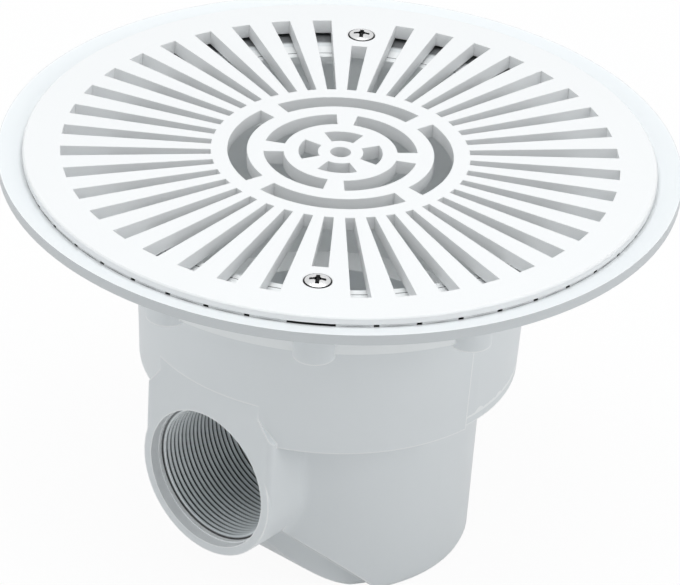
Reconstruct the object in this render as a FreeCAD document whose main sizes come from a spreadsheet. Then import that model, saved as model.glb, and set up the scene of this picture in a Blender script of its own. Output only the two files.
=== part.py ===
import FreeCAD, Part
import math
import os
import Sketcher

doc = FreeCAD.newDocument("PoolMainDrain")

# Driving sizes in millimetres and degrees. The drain stands on its pot floor, Z up,
# drain axis on Z, side outlet pointing to -Y.
drain_height = 174.5
flange_radius = 138.3
flange_edge_drop = 1.5
flange_edge_height = 4.4
flange_step_width = 12.3
seat_drop = 4.2
seat_inset = 9.7
seat_width = 6.1
shelf_drop = 7.7
shelf_thickness = 3.5
cup_radius = 104.0
cup_wall = 3.5
ledge_inner_radius = 95.0
cup_depth = 31.5
floor_thickness = 3.5
bowl_top_radius = 80.3
bowl_bottom_radius = 77.3
bowl_depth = 94.0
bowl_wall = 3.4
panel_rise = 1.7
panel_half_angle = 85.0
pot_top_radius = 63.6
pot_bottom_radius = 61.4
core_radius = 57.0
core_edge_round = 3.0
shell_cut_reach = 27.0
shell_cut_rise = 31.0
core_round_start = 23.0
core_round_radius = 35.0
core_round_dip = 0.8
pot_edge_round = 2.0
cavity_top_radius = 59.5
cavity_low_radius = 53.0
sump_radius = 33.0
sump_slope_height = 20.0
outlet_height = 51.5
outlet_face_reach = 75.2
outlet_half_width = 34.0
outlet_top_height = 98.5
outlet_wall = 3.5
outlet_wall_half_width = 26.5
outlet_shoulder_width = 22.0
outlet_edge_round = 2.5
outlet_root_round = 6.0
thread_radius = 29.8
mouth_radius = 30.2
mouth_depth = 4.5
socket_length = 54.0
boss_radius = 8.5
boss_depth = 33.5
boss_spacing_count = 10.0
screw_circle = 101.7
screw_angle = 36.0
pilot_radius = 2.15
pilot_depth = 24.0
grate_clearance = 0.4
grate_thickness = 6.0
grate_lip = 3.0
grate_edge_round = 0.6
plug_clearance = 0.7
pad_inset = 2.8
pad_margin = 0.3
pad_gap_width = 2.2
pad_spacing_count = 48.0
slot_inner_radius = 52.5
slot_rim_width = 8.8
short_slot_outer_radius = 91.2
slot_inner_width = 3.8
slot_outer_width = 8.0
slot_count = 40.0
outer_arc_inner_radius = 37.9
outer_arc_outer_radius = 45.8
outer_arc_half_angle = 39.5
inner_arc_inner_radius = 23.1
inner_arc_outer_radius = 31.2
inner_arc_half_angle = 37.0
sector_inner_radius = 9.2
sector_outer_radius = 17.0
sector_half_angle = 28.0
centre_hole_radius = 4.2
screw_hole_radius = 2.8
head_radius = 5.7
head_dome = 1.3
head_sink = 0.2
head_clearance = 0.1
shank_radius = 2.1
screw_length = 26.0
cross_length = 6.6
cross_width = 1.6
cross_depth = 2.4
cross_turn = 36.0
outlet_shoulder_rise = 2.0
face_trim_margin = 6.0

sizes = {
    "drain_height": drain_height,
    "flange_radius": flange_radius,
    "flange_edge_drop": flange_edge_drop,
    "flange_edge_height": flange_edge_height,
    "flange_step_width": flange_step_width,
    "seat_drop": seat_drop,
    "seat_inset": seat_inset,
    "seat_width": seat_width,
    "shelf_drop": shelf_drop,
    "shelf_thickness": shelf_thickness,
    "cup_radius": cup_radius,
    "cup_wall": cup_wall,
    "ledge_inner_radius": ledge_inner_radius,
    "cup_depth": cup_depth,
    "floor_thickness": floor_thickness,
    "bowl_top_radius": bowl_top_radius,
    "bowl_bottom_radius": bowl_bottom_radius,
    "bowl_depth": bowl_depth,
    "bowl_wall": bowl_wall,
    "panel_rise": panel_rise,
    "panel_half_angle": panel_half_angle,
    "pot_top_radius": pot_top_radius,
    "pot_bottom_radius": pot_bottom_radius,
    "core_radius": core_radius,
    "core_edge_round": core_edge_round,
    "shell_cut_reach": shell_cut_reach,
    "shell_cut_rise": shell_cut_rise,
    "core_round_start": core_round_start,
    "core_round_radius": core_round_radius,
    "core_round_dip": core_round_dip,
    "pot_edge_round": pot_edge_round,
    "cavity_top_radius": cavity_top_radius,
    "cavity_low_radius": cavity_low_radius,
    "sump_radius": sump_radius,
    "sump_slope_height": sump_slope_height,
    "outlet_height": outlet_height,
    "outlet_face_reach": outlet_face_reach,
    "outlet_half_width": outlet_half_width,
    "outlet_top_height": outlet_top_height,
    "outlet_wall": outlet_wall,
    "outlet_wall_half_width": outlet_wall_half_width,
    "outlet_shoulder_width": outlet_shoulder_width,
    "outlet_edge_round": outlet_edge_round,
    "outlet_root_round": outlet_root_round,
    "thread_radius": thread_radius,
    "mouth_radius": mouth_radius,
    "mouth_depth": mouth_depth,
    "socket_length": socket_length,
    "boss_radius": boss_radius,
    "boss_depth": boss_depth,
    "boss_spacing_count": boss_spacing_count,
    "screw_circle": screw_circle,
    "screw_angle": screw_angle,
    "pilot_radius": pilot_radius,
    "pilot_depth": pilot_depth,
    "grate_clearance": grate_clearance,
    "grate_thickness": grate_thickness,
    "grate_lip": grate_lip,
    "grate_edge_round": grate_edge_round,
    "plug_clearance": plug_clearance,
    "pad_inset": pad_inset,
    "pad_margin": pad_margin,
    "pad_gap_width": pad_gap_width,
    "pad_spacing_count": pad_spacing_count,
    "slot_inner_radius": slot_inner_radius,
    "slot_rim_width": slot_rim_width,
    "short_slot_outer_radius": short_slot_outer_radius,
    "slot_inner_width": slot_inner_width,
    "slot_outer_width": slot_outer_width,
    "slot_count": slot_count,
    "outer_arc_inner_radius": outer_arc_inner_radius,
    "outer_arc_outer_radius": outer_arc_outer_radius,
    "outer_arc_half_angle": outer_arc_half_angle,
    "inner_arc_inner_radius": inner_arc_inner_radius,
    "inner_arc_outer_radius": inner_arc_outer_radius,
    "inner_arc_half_angle": inner_arc_half_angle,
    "sector_inner_radius": sector_inner_radius,
    "sector_outer_radius": sector_outer_radius,
    "sector_half_angle": sector_half_angle,
    "centre_hole_radius": centre_hole_radius,
    "screw_hole_radius": screw_hole_radius,
    "head_radius": head_radius,
    "head_dome": head_dome,
    "head_sink": head_sink,
    "head_clearance": head_clearance,
    "shank_radius": shank_radius,
    "screw_length": screw_length,
    "cross_length": cross_length,
    "cross_width": cross_width,
    "cross_depth": cross_depth,
    "cross_turn": cross_turn,
    "outlet_shoulder_rise": outlet_shoulder_rise,
    "face_trim_margin": face_trim_margin,
}
sheet = doc.addObject("Spreadsheet::Sheet", "Sizes")
row = 1
for alias, size in sizes.items():
    sheet.set("A%d" % row, alias)
    sheet.set("B%d" % row, repr(size))
    sheet.setAlias("B%d" % row, alias)
    row += 1
doc.recompute()


class Dim:
    # A length held both as a formula over the sheet and as its present value.
    def __init__(self, text, value):
        self.text = text
        self.value = value

    def join(self, sign, other, value):
        return Dim("(%s %s %s)" % (self.text, sign, other.text), value)

    def __add__(self, other):
        return self.join("+", other, self.value + other.value)

    def __sub__(self, other):
        return self.join("-", other, self.value - other.value)

    def __mul__(self, other):
        return self.join("*", other, self.value * other.value)

    def __truediv__(self, other):
        return self.join("/", other, self.value / other.value)

    def __neg__(self):
        return Dim("(0 - %s)" % self.text, -self.value)


def dim(alias):
    return Dim("Sizes.%s" % alias, sizes[alias])


def number(value):
    return Dim("%.6g" % value, float(value))


def sine(angle):
    return Dim("sin(%s * 1 deg)" % angle.text, math.sin(math.radians(angle.value)))


def cosine(angle):
    return Dim("cos(%s * 1 deg)" % angle.text, math.cos(math.radians(angle.value)))


nil = number(0)
height = dim("drain_height")

# Rim sizes that follow the flange: step, grate seat, recess, grate and its plug.
flange_step = dim("flange_radius") - dim("flange_step_width")
seat_outer = dim("flange_radius") - dim("seat_inset")
recess = seat_outer - dim("seat_width")
grate_rim = seat_outer - dim("grate_clearance")
plug = recess - dim("plug_clearance")
pad_in = plug + dim("pad_inset")
pad_out = grate_rim - dim("pad_margin")


def new_sketch(body, name, role):
    sketch = body.newObject("Sketcher::SketchObject", name)
    plane = [f for f in body.Origin.OriginFeatures if f.Role == role][0]
    sketch.AttachmentSupport = [(plane, "")]
    sketch.MapMode = "FlatFace"
    return sketch


def tie(sketch, kind, geometry, point, d):
    # Ties one coordinate of a sketch point to its formula, measured from the origin.
    if d.value < 0:
        sketch.addConstraint(Sketcher.Constraint(kind, geometry, point, -1, 1, -d.value))
        sketch.setExpression("Constraints[%d]" % (sketch.ConstraintCount - 1), (-d).text)
    else:
        sketch.addConstraint(Sketcher.Constraint(kind, -1, 1, geometry, point, d.value))
        sketch.setExpression("Constraints[%d]" % (sketch.ConstraintCount - 1), d.text)


def pin(sketch, geometry, point, x, y):
    # Ties one sketch point to its two formulas; a zero keeps it on the axis.
    for kind, d, axis in (("DistanceX", x, -2), ("DistanceY", y, -1)):
        if d is nil:
            sketch.addConstraint(Sketcher.Constraint("PointOnObject", geometry, point, axis))
        else:
            tie(sketch, kind, geometry, point, d)


def outline(sketch, points):
    first = sketch.GeometryCount
    count = len(points)
    for i in range(count):
        a = points[i]
        b = points[(i + 1) % count]
        start = FreeCAD.Vector(a[0].value, a[1].value, 0)
        end = FreeCAD.Vector(b[0].value, b[1].value, 0)
        sketch.addGeometry(Part.LineSegment(start, end), False)
    for i in range(count):
        sketch.addConstraint(Sketcher.Constraint("Coincident", first + i, 2, first + (i + 1) % count, 1))
    for i in range(count):
        pin(sketch, first + i, 1, points[i][0], points[i][1])


def ring(sketch, x, y, radius):
    centre = FreeCAD.Vector(x.value, y.value, 0)
    index = sketch.addGeometry(Part.Circle(centre, FreeCAD.Vector(0, 0, 1), radius.value), False)
    if x is nil and y is nil:
        sketch.addConstraint(Sketcher.Constraint("Coincident", index, 3, -1, 1))
    else:
        pin(sketch, index, 3, x, y)
    sketch.addConstraint(Sketcher.Constraint("Radius", index, radius.value))
    sketch.setExpression("Constraints[%d]" % (sketch.ConstraintCount - 1), radius.text)


def arc_slot(sketch, inner, outer, half, middle):
    # Ring segment between two radii, about a middle direction in degrees.
    low = math.radians(middle - half.value)
    high = math.radians(middle + half.value)
    up = FreeCAD.Vector(0, 0, 1)
    zero = FreeCAD.Vector(0, 0, 0)
    a = sketch.addGeometry(Part.ArcOfCircle(Part.Circle(zero, up, inner.value), low, high), False)
    b = sketch.addGeometry(Part.ArcOfCircle(Part.Circle(zero, up, outer.value), low, high), False)
    ends = []
    for turn in (low, high):
        start = FreeCAD.Vector(inner.value * math.cos(turn), inner.value * math.sin(turn), 0)
        end = FreeCAD.Vector(outer.value * math.cos(turn), outer.value * math.sin(turn), 0)
        ends.append(sketch.addGeometry(Part.LineSegment(start, end), False))
    for arc in (a, b):
        sketch.addConstraint(Sketcher.Constraint("Coincident", arc, 3, -1, 1))
    for side, line in enumerate(ends):
        sketch.addConstraint(Sketcher.Constraint("Coincident", line, 1, a, 1 + side))
        sketch.addConstraint(Sketcher.Constraint("Coincident", line, 2, b, 1 + side))
    start = number(middle) - half
    end = number(middle) + half
    for arc, radius in ((a, inner), (b, outer)):
        pin(sketch, arc, 1, radius * cosine(start), radius * sine(start))
        tie(sketch, "DistanceX", arc, 2, radius * cosine(end))


def revolve(body, kind, name, points):
    sketch = new_sketch(body, name + "Section", "XZ_Plane")
    outline(sketch, points)
    feature = body.newObject(kind, name)
    feature.Refine = False
    feature.Profile = sketch
    feature.ReferenceAxis = (sketch, ["V_Axis"])
    feature.Angle = 360
    return feature


def extrude(body, kind, name, sketch, length, reversed_way=False, midplane=False):
    feature = body.newObject(kind, name)
    feature.Refine = False
    feature.Profile = sketch
    feature.Type = 0
    feature.Length = length.value
    feature.setExpression("Length", length.text)
    feature.Reversed = reversed_way
    if midplane:
        feature.SideType = "Symmetric"
    return feature


def polar(body, name, feature, sketch, count, angle):
    pattern = body.newObject("PartDesign::PolarPattern", name)
    pattern.Refine = False
    pattern.Originals = [feature]
    pattern.Axis = (sketch, ["N_Axis"])
    pattern.Angle = angle.value
    pattern.setExpression("Angle", angle.text)
    pattern.Occurrences = int(round(count.value))
    pattern.setExpression("Occurrences", count.text)
    body.Tip = pattern
    return pattern


def lift(sketch, level, angle):
    # Moves a sketch off its plane by a level and turns it about the plane's normal.
    spin = FreeCAD.Rotation(FreeCAD.Vector(0, 0, 1), angle.value)
    sketch.AttachmentOffset = FreeCAD.Placement(FreeCAD.Vector(0, 0, level.value), spin)
    sketch.setExpression("AttachmentOffset.Base.z", level.text)
    sketch.setExpression("AttachmentOffset.Rotation.Angle", "(%s) * 1 deg" % angle.text)


# Moulded drain body: pot first, then bowl, cup and flange, then the water space.
body = doc.addObject("PartDesign::Body", "DrainBody")
body.Label = "body"
bowl_floor = height - dim("bowl_depth")
pot_foot = dim("pot_edge_round")

revolve(body, "PartDesign::Revolution", "PotShell", [
    (nil, nil),
    (dim("pot_bottom_radius") - pot_foot, nil),
    (dim("pot_bottom_radius") - pot_foot * number(0.29), pot_foot * number(0.29)),
    (dim("pot_bottom_radius"), pot_foot),
    (dim("pot_top_radius"), bowl_floor + dim("floor_thickness")),
    (nil, bowl_floor + dim("floor_thickness"))])

# Tolerance for telling which edges lie on a surface.
match = 0.01

# Outlet block: upright sides closed below by a half round, shoulders running into the bowl,
# and a soft root where it leaves the pot.
half_width = dim("outlet_half_width")
axis_height = dim("outlet_height")
shoulder = dim("outlet_shoulder_width")


def outlet_block(stage):
    sketch = new_sketch(body, "OutletBlock%sSection" % stage, "XZ_Plane")
    outline(sketch, [
        (-half_width, axis_height),
        (half_width, axis_height),
        (half_width, bowl_floor + dim("outlet_shoulder_rise")),
        (shoulder, dim("outlet_top_height")),
        (-shoulder, dim("outlet_top_height")),
        (-half_width, bowl_floor + dim("outlet_shoulder_rise"))])
    extrude(body, "PartDesign::Pad", "OutletBlock%s" % stage, sketch, dim("outlet_face_reach"))
    sketch = new_sketch(body, "OutletRound%sSection" % stage, "XZ_Plane")
    ring(sketch, nil, axis_height, half_width)
    block = extrude(body, "PartDesign::Pad", "OutletRound%s" % stage, sketch, dim("outlet_face_reach"))
    block.Refine = True
    doc.recompute()
    return block


def on_block(point):
    if point.z >= axis_height.value:
        return abs(abs(point.x) - half_width.value) < match
    return abs(math.hypot(point.x, point.z - axis_height.value) - half_width.value) < match


def on_pot(point):
    top = bowl_floor.value + floor_thickness
    share = (point.z - pot_foot.value) / (top - pot_foot.value)
    radius = pot_bottom_radius + (pot_top_radius - pot_bottom_radius) * share
    return abs(math.hypot(point.x, point.y) - radius) < match


def pick_edges(feature, test):
    names = []
    for index, edge in enumerate(feature.Shape.Edges, 1):
        reach = edge.LastParameter - edge.FirstParameter
        steps = [edge.FirstParameter + reach * k / 6 for k in range(1, 6)]
        if all(test(edge.valueAt(step)) for step in steps):
            names.append("Edge%d" % index)
    return names


block = outlet_block("Inner")
root_round = body.newObject("PartDesign::Fillet", "OutletRoot")
root_round.Base = (block, pick_edges(block, lambda point: on_block(point) and on_pot(point)))
root_round.Radius = outlet_root_round
root_round.setExpression("Radius", "Sizes.outlet_root_round")
doc.recompute()

# Slope under the outlet that trims the outer shell of the pot.
sketch = new_sketch(body, "ShellSlopeSection", "YZ_Plane")
far = dim("flange_radius")
outline(sketch, [
    (-dim("shell_cut_reach"), nil),
    (-(dim("shell_cut_reach") + dim("shell_cut_rise")), dim("shell_cut_rise")),
    (-far, dim("shell_cut_rise")),
    (-far, nil)])
extrude(body, "PartDesign::Pocket", "ShellSlope", sketch, far * number(2), midplane=True)

# Inner core of the pot, with its own lower slope and a rounded foot.
core_foot = dim("core_edge_round")
revolve(body, "PartDesign::Revolution", "PotCore", [
    (nil, nil),
    (dim("core_radius") - core_foot, nil),
    (dim("core_radius") - core_foot * number(0.29), core_foot * number(0.29)),
    (dim("core_radius"), core_foot),
    (dim("core_radius"), bowl_floor + dim("floor_thickness")),
    (nil, bowl_floor + dim("floor_thickness"))])
sketch = new_sketch(body, "CoreRoundSection", "YZ_Plane")
start = dim("core_round_start")
bend = dim("core_round_radius")
dip = dim("core_round_dip")
side_end = bend - dip
centre = FreeCAD.Vector(-start.value, side_end.value, 0)
circle = Part.Circle(centre, FreeCAD.Vector(0, 0, 1), bend.value)
sketch.addGeometry(Part.ArcOfCircle(circle, math.pi, 1.5 * math.pi), False)
corners = [(-start.value, -dip.value), (-far.value, -dip.value)]
corners += [(-far.value, side_end.value), (-start.value - bend.value, side_end.value)]
for i in range(3):
    low = FreeCAD.Vector(corners[i][0], corners[i][1], 0)
    high = FreeCAD.Vector(corners[i + 1][0], corners[i + 1][1], 0)
    sketch.addGeometry(Part.LineSegment(low, high), False)
sketch.addConstraint(Sketcher.Constraint("Coincident", 0, 2, 1, 1))
sketch.addConstraint(Sketcher.Constraint("Coincident", 1, 2, 2, 1))
sketch.addConstraint(Sketcher.Constraint("Coincident", 2, 2, 3, 1))
sketch.addConstraint(Sketcher.Constraint("Coincident", 3, 2, 0, 1))
pin(sketch, 0, 3, -start, side_end)
pin(sketch, 1, 1, -start, -dip)
pin(sketch, 2, 1, -far, -dip)
pin(sketch, 3, 1, -far, side_end)
tie(sketch, "DistanceY", 3, 2, side_end)
extrude(body, "PartDesign::Pocket", "CoreRound", sketch, far * number(2), midplane=True)

# The block whole again below the slope, and its face edge rounded.
block = outlet_block("Outer")


def on_face_rim(point):
    return on_block(point) and abs(point.y + outlet_face_reach) < match


edge_round = body.newObject("PartDesign::Fillet", "OutletFaceEdge")
edge_round.Base = (block, pick_edges(block, on_face_rim))
edge_round.Radius = outlet_edge_round
edge_round.setExpression("Radius", "Sizes.outlet_edge_round")
doc.recompute()

# Bowl, cup and dished flange as one turned section.
cup_floor = height - dim("cup_depth")
shelf = height - dim("shelf_drop")
revolve(body, "PartDesign::Revolution", "BowlAndFlange", [
    (nil, bowl_floor),
    (dim("bowl_bottom_radius"), bowl_floor),
    (dim("bowl_top_radius"), cup_floor),
    (dim("cup_radius"), cup_floor),
    (dim("cup_radius"), shelf - dim("shelf_thickness")),
    (flange_step, shelf - dim("shelf_thickness")),
    (flange_step, height - dim("flange_edge_drop") - dim("flange_edge_height")),
    (dim("flange_radius"), height - dim("flange_edge_drop") - dim("flange_edge_height")),
    (dim("flange_radius"), height - dim("flange_edge_drop")),
    (seat_outer, height - dim("seat_drop")),
    (nil, height - dim("seat_drop"))])

# Raised half of the bowl on the outlet side, ending in two upright steps.
sketch = new_sketch(body, "BowlPanelSection", "YZ_Plane")
outline(sketch, [
    (nil, bowl_floor),
    (-(dim("bowl_bottom_radius") + dim("panel_rise")), bowl_floor),
    (-(dim("bowl_top_radius") + dim("panel_rise")), cup_floor),
    (nil, cup_floor)])
panel = body.newObject("PartDesign::Revolution", "BowlPanel")
panel.Profile = sketch
panel.ReferenceAxis = (sketch, ["V_Axis"])
panel.Midplane = True
panel.Angle = 2 * panel_half_angle
panel.setExpression("Angle", "2 * Sizes.panel_half_angle")

# Flat outlet face, cut back into the bowl.
sketch = new_sketch(body, "FaceTrimSection", "XY_Plane")
outline(sketch, [
    (-(half_width + dim("face_trim_margin")), -dim("outlet_face_reach")),
    (half_width + dim("face_trim_margin"), -dim("outlet_face_reach")),
    (half_width + dim("face_trim_margin"), -far),
    (-(half_width + dim("face_trim_margin")), -far)])
extrude(body, "PartDesign::Pocket", "FaceTrim", sketch, dim("outlet_top_height"), reversed_way=True)

# Round bosses under the flange, on the screw circle.
turn = dim("screw_angle")
boss_x = dim("screw_circle") * sine(turn)
boss_y = -(dim("screw_circle") * cosine(turn))
sketch = new_sketch(body, "BossSection", "XY_Plane")
lift(sketch, height - dim("boss_depth"), nil)
ring(sketch, boss_x, boss_y, dim("boss_radius"))
boss = extrude(body, "PartDesign::Pad", "Boss", sketch, dim("boss_depth") - dim("shelf_drop"))
polar(body, "Bosses", boss, sketch, dim("boss_spacing_count"), number(360))

# Water space inside, from the grate recess down to the sump.
wall = dim("bowl_wall")
floor = dim("floor_thickness")
revolve(body, "PartDesign::Groove", "WaterSpace", [
    (nil, floor),
    (dim("sump_radius"), floor),
    (dim("cavity_low_radius"), floor + dim("sump_slope_height")),
    (dim("cavity_top_radius"), bowl_floor + floor),
    (dim("bowl_bottom_radius") - wall, bowl_floor + floor),
    (dim("bowl_top_radius") - wall, cup_floor + floor),
    (dim("cup_radius") - dim("cup_wall"), cup_floor + floor),
    (dim("cup_radius") - dim("cup_wall"), shelf - dim("shelf_thickness")),
    (dim("ledge_inner_radius"), shelf - dim("shelf_thickness")),
    (dim("ledge_inner_radius"), shelf),
    (recess, shelf),
    (recess, height),
    (nil, height)])

# Socket tube reaching into the pot, and the flat wall behind the outlet face.
sketch = new_sketch(body, "SocketSection", "XZ_Plane")
lift(sketch, dim("outlet_face_reach") - dim("socket_length"), nil)
ring(sketch, nil, axis_height, half_width)
extrude(body, "PartDesign::Pad", "Socket", sketch, dim("socket_length"))
sketch = new_sketch(body, "FaceWallSection", "XZ_Plane")
lift(sketch, dim("outlet_face_reach") - dim("outlet_wall"), nil)
outline(sketch, [
    (-dim("outlet_wall_half_width"), axis_height),
    (dim("outlet_wall_half_width"), axis_height),
    (dim("outlet_wall_half_width"), dim("outlet_top_height") + dim("outlet_wall")),
    (-dim("outlet_wall_half_width"), dim("outlet_top_height") + dim("outlet_wall"))])
extrude(body, "PartDesign::Pad", "FaceWall", sketch, dim("outlet_wall"))

# Threaded bore at its major radius, opened by a plain mouth.
sketch = new_sketch(body, "BoreSection", "XZ_Plane")
ring(sketch, nil, axis_height, dim("thread_radius"))
extrude(body, "PartDesign::Pocket", "Bore", sketch, far, reversed_way=True)
sketch = new_sketch(body, "MouthSection", "XZ_Plane")
lift(sketch, dim("outlet_face_reach") - dim("mouth_depth"), nil)
ring(sketch, nil, axis_height, dim("mouth_radius"))
extrude(body, "PartDesign::Pocket", "Mouth", sketch, far, reversed_way=True)

# Two screw seats raised to the underside of the grate, each with a pilot hole.
sketch = new_sketch(body, "SeatPostSection", "XY_Plane")
lift(sketch, height - dim("boss_depth"), nil)
ring(sketch, boss_x, boss_y, dim("boss_radius"))
post = extrude(body, "PartDesign::Pad", "SeatPost", sketch, dim("boss_depth") - dim("grate_thickness"))
polar(body, "SeatPosts", post, sketch, number(2), number(360))
sketch = new_sketch(body, "PilotSection", "XY_Plane")
lift(sketch, height - dim("grate_thickness") - dim("pilot_depth"), nil)
ring(sketch, boss_x, boss_y, dim("pilot_radius"))
pilot = extrude(body, "PartDesign::Pocket", "Pilot", sketch, dim("pilot_depth"), reversed_way=True)
polar(body, "Pilots", pilot, sketch, number(2), number(360))

# Grate, drawn with its screw axis on -Y and turned to the screw angle as a whole.
grate = doc.addObject("PartDesign::Body", "Grate")
grate.Label = "grate"
spin = FreeCAD.Rotation(FreeCAD.Vector(0, 0, 1), turn.value)
grate.Placement = FreeCAD.Placement(FreeCAD.Vector(0, 0, 0), spin)
grate.setExpression("Placement.Rotation.Angle", "Sizes.screw_angle * 1 deg")
under = height - dim("grate_thickness")
lip = height - dim("grate_lip")
edge = dim("grate_edge_round")
revolve(grate, "PartDesign::Revolution", "GratePlate", [
    (nil, under),
    (plug, under),
    (plug, lip),
    (grate_rim, lip),
    (grate_rim, height - edge),
    (grate_rim - edge, height),
    (nil, height)])
# Rosette of curved slots round the centre hole.
for name, middle in (("outer_arc", 90), ("inner_arc", 45), ("sector", 90)):
    title = name.title().replace("_", "")
    sketch = new_sketch(grate, title + "Section", "XY_Plane")
    lift(sketch, under, number(0))
    inner = dim(name + "_inner_radius")
    outer = dim(name + "_outer_radius")
    arc_slot(sketch, inner, outer, dim(name + "_half_angle"), middle)
    arc_cut = extrude(grate, "PartDesign::Pocket", title, sketch, dim("grate_thickness"), reversed_way=True)
    polar(grate, title + "Ring", arc_cut, sketch, number(4), number(360))
sketch = new_sketch(grate, "CentreHoleSection", "XY_Plane")
lift(sketch, under, number(0))
ring(sketch, nil, nil, dim("centre_hole_radius"))
extrude(grate, "PartDesign::Pocket", "CentreHole", sketch, dim("grate_thickness"), reversed_way=True)

# Screw holes: plain bore and a sunk cone for the head.
rim_level = height - dim("head_sink")
cone_depth = dim("head_radius") - dim("shank_radius")
sketch = new_sketch(grate, "ScrewHoleSection", "XY_Plane")
lift(sketch, under, number(0))
ring(sketch, nil, -dim("screw_circle"), dim("screw_hole_radius"))
hole = extrude(grate, "PartDesign::Pocket", "ScrewHole", sketch, dim("grate_thickness"), reversed_way=True)
polar(grate, "ScrewHoles", hole, sketch, number(2), number(360))
sink_top = dim("head_radius") + dim("head_sink") + dim("head_clearance")
sink = grate.newObject("PartDesign::SubtractiveCone", "HeadSink")
sink.Radius1 = 0
sink.Radius2 = sink_top.value
sink.setExpression("Radius2", sink_top.text)
sink.Height = sink_top.value
sink.setExpression("Height", sink_top.text)
sink.Placement = FreeCAD.Placement(
    FreeCAD.Vector(0, -screw_circle, height.value - sink_top.value), FreeCAD.Rotation())
sink.setExpression("Placement.Base.y", (-dim("screw_circle")).text)
sink.setExpression("Placement.Base.z", (height - sink_top).text)
polar(grate, "HeadSinks", sink, sketch, number(2), number(360))

# Radial slots, widening outwards; the two on the screw axis are short.
slot_in = dim("slot_inner_radius")
slot_out = plug - dim("slot_rim_width")
short_out = dim("short_slot_outer_radius")
width_in = dim("slot_inner_width")
width_out = dim("slot_outer_width")
growth = (width_out - width_in) / (slot_out - slot_in)
width_short = width_in + growth * (short_out - slot_in)


def slot(sketch, reach, width):
    half_in = width_in / number(2)
    half_out = width / number(2)
    right = [(half_in, -slot_in), (half_out, -reach)]
    left = [(-half_out, -reach), (-half_in, -slot_in)]
    outline(sketch, right + left)


slot_step = number(360) / dim("slot_count")
per_side = dim("slot_count") / number(2) - number(1)
for name, start in (("LongSlotA", slot_step), ("LongSlotB", slot_step + number(180))):
    sketch = new_sketch(grate, name + "Section", "XY_Plane")
    lift(sketch, under, start)
    slot(sketch, slot_out, width_out)
    cut = extrude(grate, "PartDesign::Pocket", name, sketch, dim("grate_thickness"), reversed_way=True)
    polar(grate, name + "Row", cut, sketch, per_side, slot_step * (per_side - number(1)))
sketch = new_sketch(grate, "ShortSlotSection", "XY_Plane")
lift(sketch, under, number(0))
slot(sketch, short_out, width_short)
cut = extrude(grate, "PartDesign::Pocket", "ShortSlot", sketch, dim("grate_thickness"), reversed_way=True)
polar(grate, "ShortSlots", cut, sketch, number(2), number(360))

# Flat support pads under the rim, one place left free at each screw.
seat = height - dim("seat_drop")
pad_step = number(360) / dim("pad_spacing_count")
pad_half = pad_out * sine(pad_step / number(2)) - dim("pad_gap_width") / number(2)
pad_face = pad_out * cosine(pad_step / number(2))
pads_per_side = dim("pad_spacing_count") / number(2) - number(1)
for name, start in (("PadA", pad_step), ("PadB", pad_step + number(180))):
    sketch = new_sketch(grate, name + "Section", "XY_Plane")
    lift(sketch, seat, start)
    outline(sketch, [
        (-pad_half, -pad_in),
        (pad_half, -pad_in),
        (pad_half, -pad_face),
        (-pad_half, -pad_face)])
    pad = extrude(grate, "PartDesign::Pad", name, sketch, lip - seat)
    polar(grate, name + "Row", pad, sketch, pads_per_side, pad_step * (pads_per_side - number(1)))

# Two raised countersunk screws with a cross recess.
def make_screw(name, sign):
    screw = doc.addObject("PartDesign::Body", name)
    base = FreeCAD.Vector(sign * boss_x.value, sign * boss_y.value, rim_level.value)
    screw.Placement = FreeCAD.Placement(base, FreeCAD.Rotation())
    screw.setExpression("Placement.Base.x", (number(sign) * boss_x).text)
    screw.setExpression("Placement.Base.y", (number(sign) * boss_y).text)
    screw.setExpression("Placement.Base.z", rim_level.text)
    head = dim("head_radius")
    dome = dim("head_dome")
    shank = dim("shank_radius")
    tip = dim("screw_length")
    section = new_sketch(screw, name + "Section", "XZ_Plane")
    points = [
        (nil, dome),
        (head, nil),
        (shank, -cone_depth),
        (shank, -tip),
        (nil, -tip)]
    ball = (head.value ** 2 + dome.value ** 2) / (2 * dome.value)
    sweep = math.asin(head.value / ball)
    centre = FreeCAD.Vector(0, dome.value - ball, 0)
    circle = Part.Circle(centre, FreeCAD.Vector(0, 0, 1), ball)
    section.addGeometry(Part.ArcOfCircle(circle, math.pi / 2 - sweep, math.pi / 2), False)
    for i in range(1, 5):
        a = points[i]
        b = points[(i + 1) % 5]
        start = FreeCAD.Vector(a[0].value, a[1].value, 0)
        end = FreeCAD.Vector(b[0].value, b[1].value, 0)
        section.addGeometry(Part.LineSegment(start, end), False)
    section.addConstraint(Sketcher.Constraint("PointOnObject", 0, 3, -2))
    section.addConstraint(Sketcher.Constraint("Coincident", 0, 1, 1, 1))
    for i in range(1, 4):
        section.addConstraint(Sketcher.Constraint("Coincident", i, 2, i + 1, 1))
    section.addConstraint(Sketcher.Constraint("Coincident", 4, 2, 0, 2))
    pin(section, 0, 2, nil, dome)
    for i in range(1, 5):
        pin(section, i, 1, points[i][0], points[i][1])
    turned = screw.newObject("PartDesign::Revolution", name + "Turned")
    turned.Profile = section
    turned.ReferenceAxis = (section, ["V_Axis"])
    turned.Angle = 360
    arm = dim("cross_length") / number(2)
    thin = dim("cross_width") / number(2)
    for label, x, y in (("CrossA", arm, thin), ("CrossB", thin, arm)):
        cross = new_sketch(screw, name + label + "Section", "XY_Plane")
        lift(cross, dome - dim("cross_depth"), dim("cross_turn"))
        outline(cross, [(-x, -y), (x, -y), (x, y), (-x, y)])
        extrude(screw, "PartDesign::Pocket", name + label, cross, dim("cross_depth"), reversed_way=True)
    return screw


near_screw = make_screw("NearScrew", 1)
far_screw = make_screw("FarScrew", -1)
screws = doc.addObject("Part::Compound", "GrateScrews")
screws.Label = "grate_screws"
screws.Links = [near_screw, far_screw]

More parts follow.
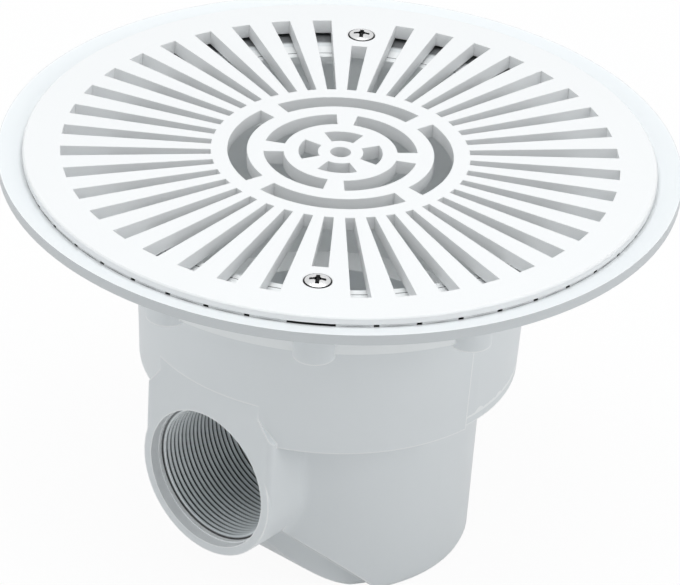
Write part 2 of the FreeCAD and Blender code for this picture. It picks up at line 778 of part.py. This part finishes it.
doc.recompute()
faults = []
for obj in doc.Objects:
    if "Invalid" in obj.State or "Error" in obj.State:
        faults.append("%s %s" % (obj.Name, obj.getStatusString()))
pieces = [body, grate, screws]
for piece in pieces:
    if piece.Shape.isNull() or not piece.Shape.isValid():
        faults.append("%s has no sound shape" % piece.Label)
if faults:
    raise RuntimeError("; ".join(faults))
os.makedirs("parts", exist_ok=True)
for piece in pieces:
    piece.Shape.exportStep("parts/%s.step" % piece.Label)
    print(piece.Label, len(piece.Shape.Solids), round(piece.Shape.Volume), piece.Shape.BoundBox)
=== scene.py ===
import bpy
import math
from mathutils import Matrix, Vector


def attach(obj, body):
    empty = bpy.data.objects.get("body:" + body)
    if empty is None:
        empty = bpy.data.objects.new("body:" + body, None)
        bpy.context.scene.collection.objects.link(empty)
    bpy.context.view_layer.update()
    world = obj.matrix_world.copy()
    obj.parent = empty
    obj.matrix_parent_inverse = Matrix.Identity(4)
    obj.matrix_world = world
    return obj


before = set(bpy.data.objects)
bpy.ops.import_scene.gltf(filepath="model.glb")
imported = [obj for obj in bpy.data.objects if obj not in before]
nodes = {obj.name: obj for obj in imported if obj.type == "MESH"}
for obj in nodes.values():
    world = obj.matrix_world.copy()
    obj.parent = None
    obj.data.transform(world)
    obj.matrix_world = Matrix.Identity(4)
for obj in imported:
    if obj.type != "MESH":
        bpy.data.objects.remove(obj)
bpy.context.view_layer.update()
scene = bpy.context.scene
print("frame loaded:", ", ".join(sorted(nodes)))


def addNode(tree, kind, place, **values):
    node = tree.nodes.new(kind)
    node.location = place
    for key, value in values.items():
        setattr(node, key, value)
    return node


# one math node: numbers go on its sockets, anything else is linked
def addMath(tree, kind, place, *sources):
    node = addNode(tree, "ShaderNodeMath", place, operation=kind)
    for socket, source in zip(node.inputs, sources):
        if isinstance(source, (int, float)):
            socket.default_value = source
        else:
            tree.links.new(source, socket)
    return node.outputs[0]


# rises from 0 to 1 between two values
def addRamp(tree, source, start, end, place):
    node = addNode(tree, "ShaderNodeMapRange", place)
    node.inputs["From Min"].default_value = start
    node.inputs["From Max"].default_value = end
    tree.links.new(source, node.inputs["Value"])
    return node.outputs["Result"]


# distance from an axis through the centre; keep is 0 along the axis
def addReach(tree, source, centre, keep, place):
    x, y = place
    offset = addNode(tree, "ShaderNodeVectorMath", (x, y), operation="SUBTRACT")
    offset.inputs[1].default_value = centre
    flat = addNode(tree, "ShaderNodeVectorMath", (x + 200, y), operation="MULTIPLY")
    flat.inputs[1].default_value = keep
    reach = addNode(tree, "ShaderNodeVectorMath", (x + 400, y), operation="LENGTH")
    tree.links.new(source, offset.inputs[0])
    tree.links.new(offset.outputs["Vector"], flat.inputs[0])
    tree.links.new(flat.outputs["Vector"], reach.inputs[0])
    return reach.outputs["Value"]


# lays another tone over a colour where the mask is high
def addTone(tree, colour, mask, tone, place):
    mix = addNode(tree, "ShaderNodeMix", place, data_type="RGBA")
    mix.inputs["B"].default_value = (*tone, 1)
    tree.links.new(mask, mix.inputs["Factor"])
    tree.links.new(colour, mix.inputs["A"])
    return mix.outputs["Result"]


# 1 for what the camera sees, straight, through something or mirrored
def addSeen(tree, place):
    x, y = place
    path = addNode(tree, "ShaderNodeLightPath", (x, y))
    straight = addMath(tree, "MAXIMUM", (x + 250, y), path.outputs["Is Camera Ray"],
                       path.outputs["Is Transmission Ray"])
    return addMath(tree, "MAXIMUM", (x + 450, y), straight, path.outputs["Is Glossy Ray"])


def newGroup(name, inputs, outputs):
    tree = bpy.data.node_groups.new(name, "ShaderNodeTree")
    for label, kind, default in inputs:
        socket = tree.interface.new_socket(name=label, in_out="INPUT", socket_type=kind)
        socket.default_value = default
    for label, kind in outputs:
        tree.interface.new_socket(name=label, in_out="OUTPUT", socket_type=kind)
    return tree, addNode(tree, "NodeGroupInput", (-900, 0)), addNode(tree, "NodeGroupOutput", (700, 0))


# fine mould texture: a low grain for the bump, and slow drifts of tone and gloss
def makeMouldGrain():
    tree, inp, out = newGroup("mouldGrain", [
        ("grainScale", "NodeSocketFloat", 900.0),
        ("driftScale", "NodeSocketFloat", 14.0),
        ("tone", "NodeSocketColor", (0.8, 0.8, 0.8, 1)),
        ("driftTone", "NodeSocketColor", (0.78, 0.78, 0.78, 1)),
        ("roughLow", "NodeSocketFloat", 0.4),
        ("roughHigh", "NodeSocketFloat", 0.55)],
        [("Color", "NodeSocketColor"), ("Roughness", "NodeSocketFloat"), ("Height", "NodeSocketFloat")])
    coords = addNode(tree, "ShaderNodeTexCoord", (-900, 300))
    grain = addNode(tree, "ShaderNodeTexNoise", (-600, 300))
    grain.inputs["Detail"].default_value = 3
    drift = addNode(tree, "ShaderNodeTexNoise", (-600, 0))
    drift.inputs["Detail"].default_value = 4
    drift.inputs["Roughness"].default_value = 0.6
    tree.links.new(coords.outputs["Object"], grain.inputs["Vector"])
    tree.links.new(coords.outputs["Object"], drift.inputs["Vector"])
    tree.links.new(inp.outputs["grainScale"], grain.inputs["Scale"])
    tree.links.new(inp.outputs["driftScale"], drift.inputs["Scale"])
    mixTone = addNode(tree, "ShaderNodeMix", (-200, 200), data_type="RGBA")
    tree.links.new(drift.outputs["Fac"], mixTone.inputs["Factor"])
    tree.links.new(inp.outputs["tone"], mixTone.inputs["A"])
    tree.links.new(inp.outputs["driftTone"], mixTone.inputs["B"])
    mixRough = addNode(tree, "ShaderNodeMix", (-200, -100), data_type="FLOAT")
    tree.links.new(drift.outputs["Fac"], mixRough.inputs["Factor"])
    tree.links.new(inp.outputs["roughLow"], mixRough.inputs["A"])
    tree.links.new(inp.outputs["roughHigh"], mixRough.inputs["B"])
    tree.links.new(mixTone.outputs["Result"], out.inputs["Color"])
    tree.links.new(mixRough.outputs["Result"], out.inputs["Roughness"])
    tree.links.new(grain.outputs["Fac"], out.inputs["Height"])
    return tree


# rounded edges as moulding gives them, plus a mask that is high on the edges, used to paint highlights
def makeEdgeRound():
    tree, inp, out = newGroup("edgeRound", [
        ("radius", "NodeSocketFloat", 0.0006)],
        [("Normal", "NodeSocketVector"), ("Edge", "NodeSocketFloat")])
    bevel = addNode(tree, "ShaderNodeBevel", (-500, 0), samples=6)
    tree.links.new(inp.outputs["radius"], bevel.inputs["Radius"])
    geometry = addNode(tree, "ShaderNodeNewGeometry", (-500, -200))
    dot = addNode(tree, "ShaderNodeVectorMath", (-250, -100), operation="DOT_PRODUCT")
    tree.links.new(bevel.outputs["Normal"], dot.inputs[0])
    tree.links.new(geometry.outputs["Normal"], dot.inputs[1])
    edge = addRamp(tree, dot.outputs["Value"], 1.0, 0.9, (0, -100))
    tree.links.new(bevel.outputs["Normal"], out.inputs["Normal"])
    tree.links.new(edge, out.inputs["Edge"])
    return tree


# painted shade: dark in narrow gaps, nothing on open faces
def makeGapShade():
    tree, inp, out = newGroup("gapShade", [
        ("reach", "NodeSocketFloat", 0.003),
        ("openLow", "NodeSocketFloat", 0.1),
        ("openHigh", "NodeSocketFloat", 0.42)],
        [("GapShade", "NodeSocketFloat")])
    gap = addNode(tree, "ShaderNodeAmbientOcclusion", (-500, 0), samples=8)
    tree.links.new(inp.outputs["reach"], gap.inputs["Distance"])
    ramp = addNode(tree, "ShaderNodeMapRange", (-100, 0))
    ramp.inputs["To Min"].default_value = 1.0
    ramp.inputs["To Max"].default_value = 0.0
    tree.links.new(gap.outputs["AO"], ramp.inputs["Value"])
    tree.links.new(inp.outputs["openLow"], ramp.inputs["From Min"])
    tree.links.new(inp.outputs["openHigh"], ramp.inputs["From Max"])
    tree.links.new(ramp.outputs["Result"], out.inputs["GapShade"])
    return tree


mouldGrain = makeMouldGrain()
gapShade = makeGapShade()
edgeRound = makeEdgeRound()


def newMaterial(name):
    material = bpy.data.materials.new(name)
    material.use_nodes = True
    return material, material.node_tree, material.node_tree.nodes["Principled BSDF"]


def addGrain(tree, look):
    grain = addNode(tree, "ShaderNodeGroup", (-700, 200), node_tree=mouldGrain)
    for key in ("grainScale", "driftScale", "roughLow", "roughHigh"):
        grain.inputs[key].default_value = look[key]
    for key in ("tone", "driftTone"):
        grain.inputs[key].default_value = (*look[key], 1)
    return grain


def addEdges(tree, look):
    edges = addNode(tree, "ShaderNodeGroup", (-700, -200), node_tree=edgeRound)
    edges.inputs["radius"].default_value = look["edgeRadius"]
    return edges


# moulded plastic: grain, painted highlights on the edges and painted shade in narrow gaps
def plasticMaterial(name, look):
    material, tree, shader = newMaterial(name)
    shader.inputs["IOR"].default_value = look["ior"]
    shader.inputs["Specular IOR Level"].default_value = look["gloss"]
    grain = addGrain(tree, look)
    edges = addEdges(tree, look)
    bump = addNode(tree, "ShaderNodeBump", (-350, -200))
    bump.inputs["Strength"].default_value = look["bump"]
    bump.inputs["Distance"].default_value = look["grainDepth"]
    tree.links.new(grain.outputs["Height"], bump.inputs["Height"])
    if look["softEdges"]:
        tree.links.new(edges.outputs["Normal"], bump.inputs["Normal"])
    paintedShade = addNode(tree, "ShaderNodeGroup", (-450, 450), node_tree=gapShade)
    share = addMath(tree, "MULTIPLY", (-450, 0), edges.outputs["Edge"], look["edgeShare"])
    # painted highlight: edges lighter
    highlighted = addTone(tree, grain.outputs["Color"], share, look["paintedEdgeTone"], (-250, 250))
    # painted shade: darker in narrow gaps
    shaded = addTone(tree, highlighted, paintedShade.outputs["GapShade"], look["paintedShadeTone"], (-50, 250))
    tree.links.new(shaded, shader.inputs["Base Color"])
    tree.links.new(grain.outputs["Roughness"], shader.inputs["Roughness"])
    tree.links.new(bump.outputs["Normal"], shader.inputs["Normal"])
    return material


# bright steel, with painted shade in the cross recess, in a ring round each head and in narrow gaps
def steelMaterial(name, look):
    material, tree, shader = newMaterial(name)
    shader.inputs["Metallic"].default_value = 1.0
    grain = addGrain(tree, look)
    edges = addEdges(tree, look)
    paintedShade = addNode(tree, "ShaderNodeGroup", (-700, 500), node_tree=gapShade)
    paintedShade.inputs["openHigh"].default_value = look["openHigh"]
    coords = addNode(tree, "ShaderNodeTexCoord", (-1500, 800)).outputs["Object"]
    x, y = look["centre"]
    reaches = [addReach(tree, coords, (side * x, side * y, 0), (1, 1, 0), (-1300, 800 + 150 * side))
               for side in (1, -1)]
    # painted shade: a dark ring round each head and a dark pit in the middle of the cross
    nearest = addMath(tree, "MINIMUM", (-700, 800), *reaches)
    rim = addRamp(tree, nearest, look["rimStart"], look["rimEnd"], (-500, 800))
    pit = addRamp(tree, nearest, look["pitStart"], look["pitEnd"], (-500, 1050))
    recessShade = addMath(tree, "MAXIMUM", (-300, 900), rim, pit)
    dark = addMath(tree, "MAXIMUM", (-300, 700), recessShade, paintedShade.outputs["GapShade"])
    tone = addTone(tree, grain.outputs["Color"], dark, look["paintedShadeTone"], (-150, 350))
    tree.links.new(tone, shader.inputs["Base Color"])
    tree.links.new(grain.outputs["Roughness"], shader.inputs["Roughness"])
    tree.links.new(edges.outputs["Normal"], shader.inputs["Normal"])
    return material


# the edge tone paints highlights on the edges; the dark tone paints shade in narrow gaps
bodyLook = {
    "tone": (0.812, 0.84, 0.855), "driftTone": (0.792, 0.822, 0.838), "paintedShadeTone": (0.03, 0.032, 0.035),
    "grainScale": 900.0, "driftScale": 14.0, "bump": 0.14, "grainDepth": 0.0001,
    "roughLow": 0.4, "roughHigh": 0.52, "gloss": 0.45, "ior": 1.5,
    "edgeRadius": 0.001, "paintedEdgeTone": (1.0, 1.0, 1.0), "edgeShare": 1.0, "softEdges": False}

# places on the body where light and shade are painted, by height, distance from the drain's axis and distance
# along the photograph's view
bodyPlaces = {
    "ledgeLevel": 0.166,
    "ledgeRadius": 0.0983, "ledgeHalf": 0.00025, "ledgeShadeTone": (0.12, 0.125, 0.13),  # painted shade line under the slot ends
    "edgeRadius": 0.1383, "edgeHalf": 0.00025, "paintedEdgeTone": (0.64, 0.665, 0.68),  # painted shade on the flange's outer side
    "insideLightTone": (0.93, 0.95, 0.955),  # painted light: paler inside the water spaces
    "bowlInside": 0.0775, "bowlLevel": 0.0838,
    "potInside": 0.0565, "potLevel": 0.0238, "faceInside": -0.073,
    "viewDirection": (-0.635, 0.7725, 0),  # level, away from the photograph's camera
    "cupInside": 0.1042, "cupLevel": 0.1428, "cupFrom": 0.02, "cupTo": 0.06,  # painted light: paler near and far in the cup
    "shadeStart": 0.1066, "shadeEnd": 0.1085, "shadeFrom": 0.075, "shadeTo": 0.095,
    "shadeTone": (0.16, 0.167, 0.172),  # painted shade on the ledge, far from the photograph's camera
    "seatRadius": 0.125, "seatHalf": 0.0027, "seatLevel": 0.1695,
    "seatShadeTone": (0.004, 0.004, 0.005),  # painted shade on the seat under the grate's rim
    "lipAxis": 0.0515, "lipRadius": 0.0304, "lipDepth": -0.0686,
    "lipLightTone": (0.94, 0.955, 0.965)}  # painted light: a paler lip in front of the thread


def addPlaces(material, spec):
    tree = material.node_tree
    shader = tree.nodes["Principled BSDF"]
    coords = addNode(tree, "ShaderNodeTexCoord", (-1700, 800)).outputs["Object"]
    parts = addNode(tree, "ShaderNodeSeparateXYZ", (-1500, 950))
    tree.links.new(coords, parts.inputs[0])
    along = addNode(tree, "ShaderNodeVectorMath", (-1500, 2250), operation="DOT_PRODUCT")
    along.inputs[1].default_value = spec["viewDirection"]
    tree.links.new(coords, along.inputs[0])
    reached = along.outputs["Value"]
    radius = addReach(tree, coords, (0, 0, 0), (1, 1, 0), (-1700, 600))
    span = addReach(tree, coords, (0, 0, spec["lipAxis"]), (1, 0, 1), (-1700, 150))

    def below(source, value, y):
        return addMath(tree, "LESS_THAN", (-1100, y), source, value)

    def above(source, value, y):
        return addMath(tree, "GREATER_THAN", (-1100, y), source, value)

    def near(source, value, half, y):
        return addMath(tree, "COMPARE", (-1100, y), source, value, half)

    def both(first, second, x, y):
        return addMath(tree, "MULTIPLY", (x, y), first, second)

    def either(first, second, x, y):
        return addMath(tree, "MAXIMUM", (x, y), first, second)

    level = parts.outputs["Z"]
    bowl = both(below(radius, spec["bowlInside"], 1500), above(level, spec["bowlLevel"], 1350), -900, 1450)
    pot = both(below(radius, spec["potInside"], 1200), above(level, spec["potLevel"], 1050), -900, 1150)
    low = both(either(bowl, pot, -700, 1300), above(parts.outputs["Y"], spec["faceInside"], 1650), -500, 1400)
    cup = both(below(radius, spec["cupInside"], 1950), above(level, spec["cupLevel"], 1800), -900, 1850)
    away = addMath(tree, "ABSOLUTE", (-1100, 2100), reached)
    cup = both(cup, addRamp(tree, away, spec["cupFrom"], spec["cupTo"], (-900, 2050)), -700, 1900)
    inside = either(low, cup, -300, 1500)
    ledge = both(near(radius, spec["ledgeRadius"], spec["ledgeHalf"], 900),
                 above(level, spec["ledgeLevel"], 750), -900, 850)
    outer = near(radius, spec["edgeRadius"], spec["edgeHalf"], 600)
    band = both(addRamp(tree, radius, spec["shadeStart"], spec["shadeEnd"], (-900, 2300)),
                addRamp(tree, reached, spec["shadeFrom"], spec["shadeTo"], (-900, 2550)), -700, 2400)
    floorOnly = both(below(radius, spec["seatRadius"] - spec["seatHalf"], 2800),
                     above(level, spec["ledgeLevel"], 2950), -900, 2850)
    shade = both(band, floorOnly, -500, 2600)
    seat = both(near(radius, spec["seatRadius"], spec["seatHalf"], 450),
                above(level, spec["seatLevel"], 300), -900, 400)
    lip = both(below(span, spec["lipRadius"], 150), below(parts.outputs["Y"], spec["lipDepth"], 0), -900, 100)
    # painted light on the insides and the lip, painted shade on the outer side, the far ledge, the line under
    # the slot ends and the seat
    tone = shader.inputs["Base Color"].links[0].from_socket
    masks = {"insideLightTone": inside, "lipLightTone": lip, "paintedEdgeTone": outer, "shadeTone": shade,
             "ledgeShadeTone": ledge, "seatShadeTone": seat}
    for i, (name, mask) in enumerate(masks.items()):
        tone = addTone(tree, tone, mask, spec[name], (100 + 200 * i, 700))
    tree.links.new(tone, shader.inputs["Base Color"])


# the edge tone paints highlights on the edges; the dark tone paints shade in narrow gaps
grateLook = {
    "tone": (0.83, 0.84, 0.845), "driftTone": (0.815, 0.825, 0.832), "paintedShadeTone": (0.03, 0.032, 0.035),
    "grainScale": 1100.0, "driftScale": 18.0, "bump": 0.1, "grainDepth": 0.0001,
    "roughLow": 0.36, "roughHigh": 0.48, "gloss": 0.45, "ior": 1.5,
    "edgeRadius": 0.0005, "paintedEdgeTone": (0.93, 0.935, 0.94), "edgeShare": 0.6, "softEdges": True}
# the dark tone paints shade in the cross recess, round each head and in narrow gaps
screwLook = {
    "tone": (0.74, 0.745, 0.75), "driftTone": (0.62, 0.625, 0.63), "paintedShadeTone": (0.01, 0.01, 0.011),
    "grainScale": 1500.0, "driftScale": 260.0, "roughLow": 0.2, "roughHigh": 0.36,
    "edgeRadius": 0.0003, "openHigh": 0.92, "centre": (0.059778, -0.082277),
    "rimStart": 0.00495, "rimEnd": 0.0052, "pitStart": 0.0017, "pitEnd": 0.0014}

bodyPlastic = plasticMaterial("bodyPlastic", bodyLook)
addPlaces(bodyPlastic, bodyPlaces)
gratePlastic = plasticMaterial("gratePlastic", grateLook)
screwSteel = steelMaterial("screwSteel", screwLook)
for nodeName, material in (("body", bodyPlastic), ("grate", gratePlastic), ("grate_screws", screwSteel)):
    nodes[nodeName].data.materials.clear()
    nodes[nodeName].data.materials.append(material)
print("materials set")

# female pipe thread inside the outlet, one helical ridge on the wall of the plain bore
thread = {
    "axisHeight": 0.0515, "start": -0.0706, "turns": 20.6, "pitch": 0.002309,
    "majorRadius": 0.0298, "minorRadius": 0.02833, "inset": 0.00002,
    "perTurn": 120, "fadeSteps": 40, "flat": 0.12,
    # the thread's tones are paler than the body's: painted light in the bore
    "tone": (0.92, 0.97, 0.99), "driftTone": (0.89, 0.94, 0.965), "paintedShadeTone": (0.4, 0.43, 0.45),
    "rootShadeTone": (0.008, 0.009, 0.011), "rootStart": 0.02872, "rootEnd": 0.02925,  # painted shade in the thread roots
    "rootShadeFrom": -0.0704, "rootShadeTo": -0.0692,  # no painted shade in the first root
    "bottomShadeTone": (0.68, 0.72, 0.74), "bottomShadeTop": 0.038, "bottomShadeLow": 0.025}  # painted shade, darker at the bottom of the bore


# the body's plastic in paler tones, with painted shade in the thread roots and at the bottom of the bore
def threadMaterial(name, spec):
    look = dict(bodyLook)
    for key in ("tone", "driftTone", "paintedShadeTone"):
        look[key] = spec[key]
    material = plasticMaterial(name, look)
    tree = material.node_tree
    shader = tree.nodes["Principled BSDF"]
    coords = addNode(tree, "ShaderNodeTexCoord", (-1500, 500)).outputs["Object"]
    parts = addNode(tree, "ShaderNodeSeparateXYZ", (-1300, 750))
    tree.links.new(coords, parts.inputs[0])
    reach = addReach(tree, coords, (0, 0, spec["axisHeight"]), (1, 0, 1), (-1300, 500))
    root = addRamp(tree, reach, spec["rootStart"], spec["rootEnd"], (-700, 500))
    inward = addRamp(tree, parts.outputs["Y"], spec["rootShadeFrom"], spec["rootShadeTo"], (-700, 750))
    bottomShade = addRamp(tree, parts.outputs["Z"], spec["bottomShadeTop"], spec["bottomShadeLow"], (-700, 1000))
    tone = shader.inputs["Base Color"].links[0].from_socket
    tone = addTone(tree, tone, bottomShade, spec["bottomShadeTone"], (-300, 900))
    paintedShade = addMath(tree, "MULTIPLY", (-400, 650), root, inward)
    tone = addTone(tree, tone, paintedShade, spec["rootShadeTone"], (-100, 450))
    tree.links.new(tone, shader.inputs["Base Color"])
    return material


def buildThread(spec):
    verts = []
    faces = []
    steps = int(spec["turns"] * spec["perTurn"])
    ridge = spec["majorRadius"] - spec["minorRadius"]
    profile = [(-0.5, 0.0), (-spec["flat"], 1.0), (spec["flat"], 1.0), (0.5, 0.0)]
    points = len(profile)
    for i in range(steps + 1):
        turn = 2 * math.pi * i / spec["perTurn"]
        fade = min(1.0, i / spec["fadeSteps"], (steps - i) / spec["fadeSteps"])
        for along, depth in profile:
            radius = spec["majorRadius"] - spec["inset"] - ridge * depth * fade
            y = spec["start"] + spec["pitch"] * (i / spec["perTurn"] + along + 0.5)
            verts.append((radius * math.cos(turn), y, spec["axisHeight"] + radius * math.sin(turn)))
    for i in range(steps):
        for j in range(points - 1):
            a = points * i + j
            faces.append((a, a + 1, a + points + 1, a + points))
    mesh = bpy.data.meshes.new("outletThread")
    mesh.from_pydata(verts, [], faces)
    mesh.update()
    mesh.materials.append(threadMaterial("threadPlastic", spec))
    piece = bpy.data.objects.new("outletThread", mesh)
    scene.collection.objects.link(piece)
    return piece


outletThread = buildThread(thread)
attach(outletThread, "root")
print("outlet thread:", len(outletThread.data.polygons), "faces")

# floor, white to the camera with the drain's shadow kept on it
floorLook = {"tone": 0.7, "seenTone": 0.95, "roughness": 0.9, "size": 6.0, "whiteShare": 0.94}
floorMaterial, floorTree, floorShader = newMaterial("studioFloor")
floorShader.inputs["Roughness"].default_value = floorLook["roughness"]
floorWhite = addNode(floorTree, "ShaderNodeEmission", (0, -300))
floorSeen = addSeen(floorTree, (-700, 400))
floorShare = addMath(floorTree, "MULTIPLY", (-50, 400), floorSeen, floorLook["whiteShare"])
floorTone = addNode(floorTree, "ShaderNodeMapRange", (-250, 150))
floorTone.inputs["To Min"].default_value = floorLook["tone"]
floorTone.inputs["To Max"].default_value = floorLook["seenTone"]
floorMix = addNode(floorTree, "ShaderNodeMixShader", (300, 100))
floorTree.links.new(floorSeen, floorTone.inputs["Value"])
floorTree.links.new(floorTone.outputs["Result"], floorShader.inputs["Base Color"])
floorTree.links.new(floorShare, floorMix.inputs["Fac"])
floorTree.links.new(floorShader.outputs["BSDF"], floorMix.inputs[1])
floorTree.links.new(floorWhite.outputs["Emission"], floorMix.inputs[2])
floorTree.links.new(floorMix.outputs["Shader"], floorTree.nodes["Material Output"].inputs["Surface"])
bpy.ops.mesh.primitive_plane_add(size=floorLook["size"], location=(0, 0, 0))
floor = bpy.context.object
floor.name = "studioFloor"
floor.data.materials.append(floorMaterial)

# world: soft grey dome for light, white for what the camera sees
worldLook = {"domeStrength": 0.455, "domeTint": (0.95, 0.985, 1.0),
             "seenStrength": 1.0, "seenTint": (1, 1, 1)}
world = bpy.data.worlds.new("studioDome")
scene.world = world
world.use_nodes = True
worldTree = world.node_tree
background = worldTree.nodes["Background"]
worldSeen = addSeen(worldTree, (-700, 200))
strength = addNode(worldTree, "ShaderNodeMapRange", (-50, 100))
strength.inputs["To Min"].default_value = worldLook["domeStrength"]
strength.inputs["To Max"].default_value = worldLook["seenStrength"]
worldTint = addNode(worldTree, "ShaderNodeMix", (-50, -150), data_type="RGBA")
worldTint.inputs["A"].default_value = (*worldLook["domeTint"], 1)
worldTint.inputs["B"].default_value = (*worldLook["seenTint"], 1)
worldTree.links.new(worldSeen, strength.inputs["Value"])
worldTree.links.new(worldSeen, worldTint.inputs["Factor"])
worldTree.links.new(strength.outputs["Result"], background.inputs["Strength"])
worldTree.links.new(worldTint.outputs["Result"], background.inputs["Color"])

# soft lamps, all aimed at the middle of the drain
lampAim = (0, 0, 0.1)
lamps = {
    "overhead": {"place": (0.1, -0.1, 1.7), "size": 1.6, "power": 18.6},
    "right": {"place": (1.55, 0.4, 0.9), "size": 0.9, "power": 5.6},
    "left": {"place": (-0.9, -1.3, 0.8), "size": 0.9, "power": 3.6}}


def addLamp(name, spec, aim):
    lamp = bpy.data.lights.new(name, "AREA")
    lamp.shape = "SQUARE"
    lamp.size = spec["size"]
    lamp.energy = spec["power"]
    holder = bpy.data.objects.new(name, lamp)
    scene.collection.objects.link(holder)
    holder.location = spec["place"]
    holder.rotation_euler = (Vector(aim) - Vector(spec["place"])).to_track_quat("-Z", "Y").to_euler()


for lampName, lampSpec in lamps.items():
    addLamp(lampName, lampSpec, lampAim)
print("lights set")

# camera at the photograph's angle
view = {"location": (1.05224, -1.27634, 1.10809), "turn": (58.8138, -2.6334, 40.9987),
        "lens": 248.95, "sensorWidth": 36.0, "clipEnd": 50}
cameraData = bpy.data.cameras.new("photoCamera")
cameraData.sensor_width = view["sensorWidth"]
cameraData.lens = view["lens"]
cameraData.clip_end = view["clipEnd"]
camera = bpy.data.objects.new("photoCamera", cameraData)
scene.collection.objects.link(camera)
camera.location = view["location"]
camera.rotation_euler = [math.radians(a) for a in view["turn"]]
scene.camera = camera
scene.view_settings.view_transform = "Standard"
print("camera set")
